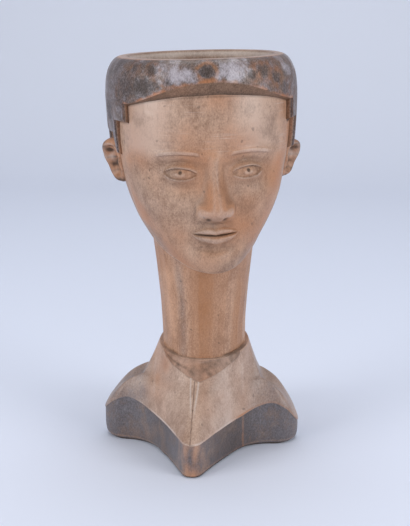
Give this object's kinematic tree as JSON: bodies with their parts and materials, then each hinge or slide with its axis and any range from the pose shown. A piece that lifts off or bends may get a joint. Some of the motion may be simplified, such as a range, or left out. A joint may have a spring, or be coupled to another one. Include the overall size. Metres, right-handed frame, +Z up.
{
  "type": "figural drinking cup",
  "caption": "Carved wooden drinking cup: a hollow head with a flat-topped hair cap on a long neck, flaring into a star-shaped foot.",
  "frame": {"origin": "middle of the foot's underside", "axes": "+Z up along the neck, the front point of the foot along -Y, +X to the viewer's right"},
  "size_m": [0.1, 0.1, 0.1958],
  "materials": {
    "foot_wood": "hand-rubbed wood with a dark patina on the foot's walls",
    "neck_wood": "hand-rubbed warm brown wood",
    "head_wood": "hand-rubbed pale brown wood",
    "hair_patina": "burnished dark patina on wood"
  },
  "bodies": {
    "root": {"base": "foot_wood", "neck": "neck_wood", "head": "head_wood", "hair_cap": "hair_patina", "left_ear": "head_wood", "right_ear": "head_wood"}
  },
  "joints": []
}
